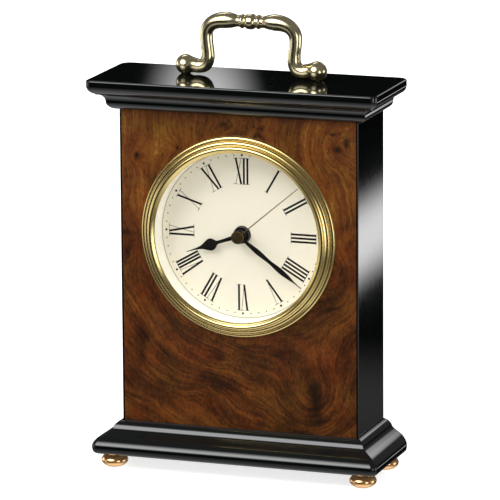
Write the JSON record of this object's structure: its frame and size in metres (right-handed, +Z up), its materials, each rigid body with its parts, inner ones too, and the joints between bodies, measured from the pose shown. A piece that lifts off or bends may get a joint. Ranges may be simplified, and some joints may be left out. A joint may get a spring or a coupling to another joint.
{
  "type": "carriage clock",
  "caption": "Quartz carriage clock: gloss black moulded case, burl front, round brass bezel and glass, ivory dial with hands, brass handle, bun feet and hinged back door.",
  "frame": {"origin": "on the table under the middle of the clock", "axes": "+Z up, the dial faces -Y, +X to the right as seen from the front"},
  "size_m": [0.1276, 0.0476, 0.1943],
  "materials": {
    "black_lacquer": "high gloss black lacquer",
    "bare_board": "unfinished fibreboard",
    "burl_veneer": "figured burl veneer under gloss lacquer",
    "polished_brass": "polished and lacquered",
    "copper_brass": "polished, warm copper tone",
    "hinge_brass": "polished sheet",
    "gilt_hand": "gilt",
    "glass": "clear, flat, polished",
    "white_card": "matt white",
    "ivory_dial": "matt ivory print",
    "black_hand": "semi-gloss black",
    "bronze_cap": "dark bronze, satin",
    "black_plastic": "fine moulded texture",
    "white_plastic": "moulded acetal",
    "green_board": "green solder mask",
    "copper_wire": "enamelled copper winding",
    "motor_steel": "bright",
    "screw_steel": "zinc plated",
    "contact_metal": "nickel plated",
    "dark_magnet": "sintered ferrite",
    "battery_label": "plain printed sleeve"
  },
  "bodies": {
    "case": {"battery": "battery_label", "battery_contact_negative": "contact_metal", "battery_contact_positive": "contact_metal", "bezel": "polished_brass", "burl_veneer_panel": "burl_veneer", "catch_magnet": "dark_magnet", "circuit_board": "green_board", "coil_bobbin": "white_plastic", "coil_winding": "copper_wire", "dial": "ivory_dial", "foot_front_left": "copper_brass", "foot_front_right": "copper_brass", "foot_rear_left": "copper_brass", "foot_rear_right": "copper_brass", "foot_screw_front_left": "screw_steel", "foot_screw_front_right": "screw_steel", "foot_screw_rear_left": "screw_steel", "foot_screw_rear_right": "screw_steel", "front_board": "bare_board", "glass": "glass", "handle": "polished_brass", "handle_screw_left": "screw_steel", "handle_screw_right": "screw_steel", "left_side_panel": "black_lacquer", "lower_hinge_case_leaf": "hinge_brass", "lower_hinge_pin": "screw_steel", "middle_plate": "black_plastic", "movement_back_case": "black_plastic", "movement_front_plate": "black_plastic", "movement_screw_lower": "screw_steel", "movement_screw_upper": "screw_steel", "plinth_base": "black_lacquer", "quartz_crystal": "motor_steel", "rehaut_ring": "white_card", "right_side_panel": "black_lacquer", "stator": "motor_steel", "timing_chip": "black_plastic", "top_board": "black_lacquer", "upper_hinge_case_leaf": "hinge_brass", "upper_hinge_pin": "screw_steel"},
    "seconds_train": {"seconds_wheel": "white_plastic", "seconds_hand": "gilt_hand", "seconds_cap": "bronze_cap"},
    "minute_train": {"centre_wheel": "white_plastic", "minute_hand": "black_hand"},
    "hour_train": {"hour_wheel": "white_plastic", "hour_hand": "black_hand"},
    "third_wheel_set": {"third_wheel": "white_plastic"},
    "fifth_wheel_set": {"fifth_wheel": "white_plastic"},
    "rotor_set": {"rotor": "dark_magnet"},
    "setting_set": {"minute_wheel": "white_plastic", "setting_knob": "black_plastic"},
    "rear_door": {"back_door": "black_lacquer", "door_knob": "polished_brass", "catch_plate": "motor_steel", "lower_hinge_door_leaf": "hinge_brass", "upper_hinge_door_leaf": "hinge_brass"}
  },
  "joints": [
    {"name": "seconds_spin", "type": "hinge", "parent": "case", "child": "seconds_train", "pos_m": [0, 0, 0.1025], "axis": [0, 1, 0], "continuous": true},
    {"name": "minute_spin", "type": "hinge", "parent": "case", "child": "minute_train", "pos_m": [0, 0, 0.1025], "axis": [0, 1, 0], "continuous": true},
    {"name": "hour_spin", "type": "hinge", "parent": "case", "child": "hour_train", "pos_m": [0, 0, 0.1025], "axis": [0, 1, 0], "continuous": true},
    {"name": "third_wheel_spin", "type": "hinge", "parent": "case", "child": "third_wheel_set", "pos_m": [-0.00863, 0, 0.10564], "axis": [0, 1, 0], "continuous": true},
    {"name": "fifth_wheel_spin", "type": "hinge", "parent": "case", "child": "fifth_wheel_set", "pos_m": [0, 0, 0.10964], "axis": [0, 1, 0], "continuous": true},
    {"name": "rotor_spin", "type": "hinge", "parent": "case", "child": "rotor_set", "pos_m": [0, 0, 0.11612], "axis": [0, 1, 0], "continuous": true},
    {"name": "setting_knob_spin", "type": "hinge", "parent": "case", "child": "setting_set", "pos_m": [0.00902, 0, 0.10578], "axis": [0, 1, 0], "continuous": true},
    {"name": "back_door_swing", "type": "hinge", "parent": "case", "child": "rear_door", "pos_m": [-0.0449, 0.0184, 0.087], "axis": [0, 0, 1], "range_deg": [0, 110]}
  ],
  "couplings": [
    {"joint": "third_wheel_spin", "follows": "seconds_spin", "ratio": -0.13333},
    {"joint": "minute_spin", "follows": "seconds_spin", "ratio": 0.016667},
    {"joint": "setting_knob_spin", "follows": "seconds_spin", "ratio": -0.0055556},
    {"joint": "hour_spin", "follows": "seconds_spin", "ratio": 0.0013889},
    {"joint": "fifth_wheel_spin", "follows": "seconds_spin", "ratio": -6},
    {"joint": "rotor_spin", "follows": "seconds_spin", "ratio": 30}
  ]
}
